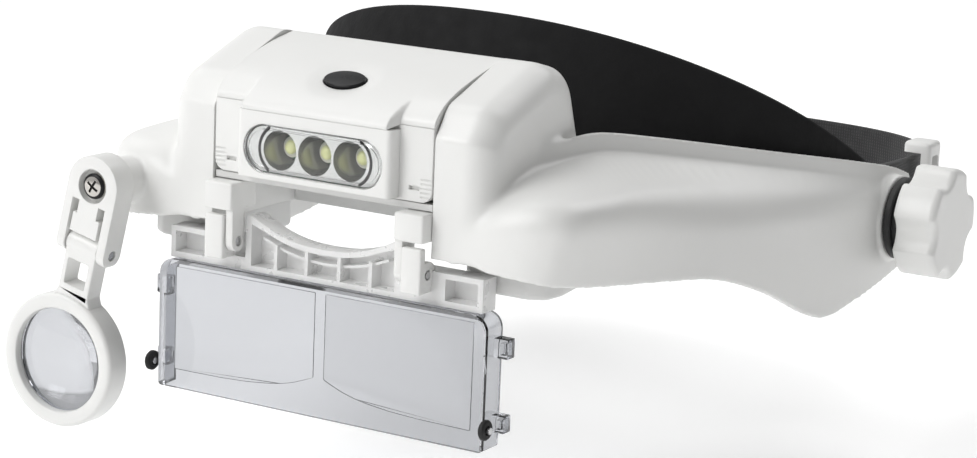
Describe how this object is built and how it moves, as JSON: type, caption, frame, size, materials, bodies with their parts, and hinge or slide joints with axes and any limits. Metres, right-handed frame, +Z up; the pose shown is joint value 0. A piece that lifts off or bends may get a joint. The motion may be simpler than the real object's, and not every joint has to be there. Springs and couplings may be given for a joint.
{
  "type": "head visor magnifier",
  "caption": "Head-worn magnifier: visor arms with a lamp and battery box, flip-down lens plate, side loupe on a folding arm, and a padded headband tilting on temple knobs.",
  "frame": {"origin": "centre of the bounding box, on its lowest plane, with the headband and visor at rest", "axes": "+X to the wearer's left, -Y forward out of the lens plate, +Z up"},
  "size_m": [0.2198, 0.2588, 0.1107],
  "materials": {
    "white_shell": "smooth moulded ABS, lightly glossy",
    "white_inner": "moulded ABS, satin",
    "frosted_plastic": "translucent milky plastic",
    "clear_lens": "clear moulded acrylic, polished",
    "black_soft": "soft matte black plastic",
    "black_gloss": "glossy black plastic",
    "black_rubber": "moulded rubber",
    "foam": "cloth-faced foam",
    "steel": "plated steel",
    "chrome": "bright plated",
    "brass": "sprung contact brass",
    "board": "printed circuit board",
    "led_yellow": "phosphor-coated chip",
    "cell_coat": "printed cell sleeve",
    "wire_red": "insulation"
  },
  "bodies": {
    "visor": {"visor_shell": "white_shell", "battery_tray": "white_inner", "lamp_housing": "white_shell", "lamp_window": "clear_lens", "reflector": "chrome", "led_board": "board", "led_1": "led_yellow", "led_2": "led_yellow", "led_3": "led_yellow", "battery_1": "cell_coat", "battery_2": "cell_coat", "battery_3": "cell_coat", "contact_spring_1": "brass", "contact_spring_2": "brass", "contact_spring_3": "brass", "contact_plate_left": "steel", "contact_plate_right": "steel", "wire_red": "wire_red", "wire_black": "black_soft", "switch_body": "black_soft", "switch_board": "board", "under_cover_left": "white_inner", "under_cover_right": "white_inner", "cover_screw_left": "steel", "cover_screw_right": "steel", "hinge_box_left": "white_shell", "hinge_box_right": "white_shell", "hinge_pin_left": "steel", "hinge_pin_right": "steel", "loupe_screw": "chrome", "loupe_washer": "chrome", "pivot_washer_left": "black_soft", "pivot_washer_right": "black_soft"},
    "lid": {"battery_lid": "white_shell"},
    "button": {"power_button": "black_gloss"},
    "plunger": {"switch_plunger": "black_soft"},
    "lens": {"lens_frame": "frosted_plastic", "lens_plate": "clear_lens", "bumper_left": "black_rubber", "bumper_right": "black_rubber", "bumper_pin_left": "steel", "bumper_pin_right": "steel"},
    "loupe_arm": {"loupe_link": "white_shell", "loupe_pin": "steel"},
    "loupe": {"loupe_ring": "white_shell", "loupe_lens": "clear_lens"},
    "band": {"headband": "black_soft", "forehead_pad": "foam", "rear_strap": "black_soft", "strap_buckle": "white_shell", "pivot_nut_left": "steel", "pivot_nut_right": "steel"},
    "knob_left": {"knob_left": "white_shell", "knob_stud_left": "steel"},
    "knob_right": {"knob_right": "white_shell", "knob_stud_right": "steel"}
  },
  "joints": [
    {"name": "lid_hinge", "type": "hinge", "parent": "visor", "child": "lid", "pos_m": [0, -0.0794, 0.10361], "axis": [-1, 0, 0], "range_deg": [0, 75]},
    {"name": "button_press", "type": "slide", "parent": "lid", "child": "button", "axis": [0, 0.3843, -0.9232], "range_m": [0, 0.0012]},
    {"name": "switch_press", "type": "slide", "parent": "visor", "child": "plunger", "axis": [0, 0.3843, -0.9232], "range_m": [0, 0.0012]},
    {"name": "lens_flip", "type": "hinge", "parent": "visor", "child": "lens", "pos_m": [0, -0.115, 0.05491], "axis": [-1, 0, 0], "range_deg": [0, 85]},
    {"name": "loupe_swing", "type": "hinge", "parent": "visor", "child": "loupe_arm", "pos_m": [-0.0611, -0.1256, 0.06611], "axis": [0, 1, 0], "range_deg": [-110, 150]},
    {"name": "loupe_tilt", "type": "hinge", "parent": "loupe_arm", "child": "loupe", "pos_m": [-0.06495, -0.1256, 0.04955], "axis": [0.974, 0, -0.2266], "range_deg": [-90, 20]},
    {"name": "band_tilt", "type": "hinge", "parent": "visor", "child": "band", "pos_m": [0, 0.0354, 0.05441], "axis": [1, 0, 0], "range_deg": [-6, 50]},
    {"name": "knob_left_turn", "type": "hinge", "parent": "visor", "child": "knob_left", "pos_m": [0.1, 0.0354, 0.05441], "axis": [1, 0, 0], "continuous": true},
    {"name": "knob_right_turn", "type": "hinge", "parent": "visor", "child": "knob_right", "pos_m": [-0.1, 0.0354, 0.05441], "axis": [-1, 0, 0], "continuous": true}
  ],
  "couplings": [
    {"joint": "switch_press", "follows": "button_press", "ratio": 1}
  ]
}
